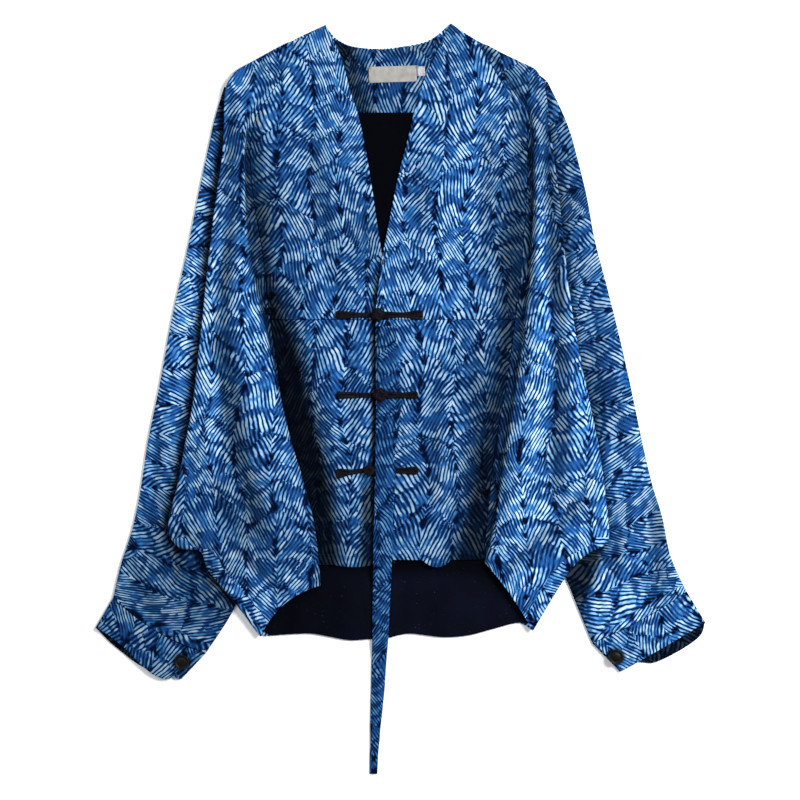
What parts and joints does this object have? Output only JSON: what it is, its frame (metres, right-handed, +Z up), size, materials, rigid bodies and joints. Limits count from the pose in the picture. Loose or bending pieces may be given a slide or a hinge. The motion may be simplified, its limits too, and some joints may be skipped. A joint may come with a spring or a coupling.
{
  "type": "batwing jacket",
  "caption": "Open-front batwing jacket laid flat on its back, with raglan seams, folded wings, buttoned cuffs, corded frog fastenings and a long narrow tie.",
  "frame": {"origin": "on the floor under the middle of the jacket's outline", "axes": "+X across the shoulders to the picture's right, +Y towards the neck, +Z up from the floor through the layers"},
  "size_m": [0.6721, 0.8275, 0.0211],
  "materials": {
    "dyed_cotton": "matte resist-dyed cotton",
    "lining": "soft matte",
    "frog_cord": "matte cloth cord",
    "button": "satin",
    "label": "woven"
  },
  "bodies": {
    "root": {"back_panel": "dyed_cotton", "back_lining": "lining", "back_neck_facing": "dyed_cotton", "neck_label": "label", "size_tab": "label", "front_left_upper": "dyed_cotton", "front_left_lower": "dyed_cotton", "front_right_upper": "dyed_cotton", "front_right_lower": "dyed_cotton", "wing_left": "dyed_cotton", "wing_right": "dyed_cotton", "sleeve_left": "dyed_cotton", "sleeve_right": "dyed_cotton", "cuff_left": "dyed_cotton", "cuff_right": "dyed_cotton", "cuff_button_left": "button", "cuff_button_right": "button", "frog_1_loop": "frog_cord", "frog_1_knot": "frog_cord", "frog_2_loop": "frog_cord", "frog_2_knot": "frog_cord", "frog_3_loop": "frog_cord", "frog_3_knot": "frog_cord", "tie": "dyed_cotton"}
  },
  "joints": []
}
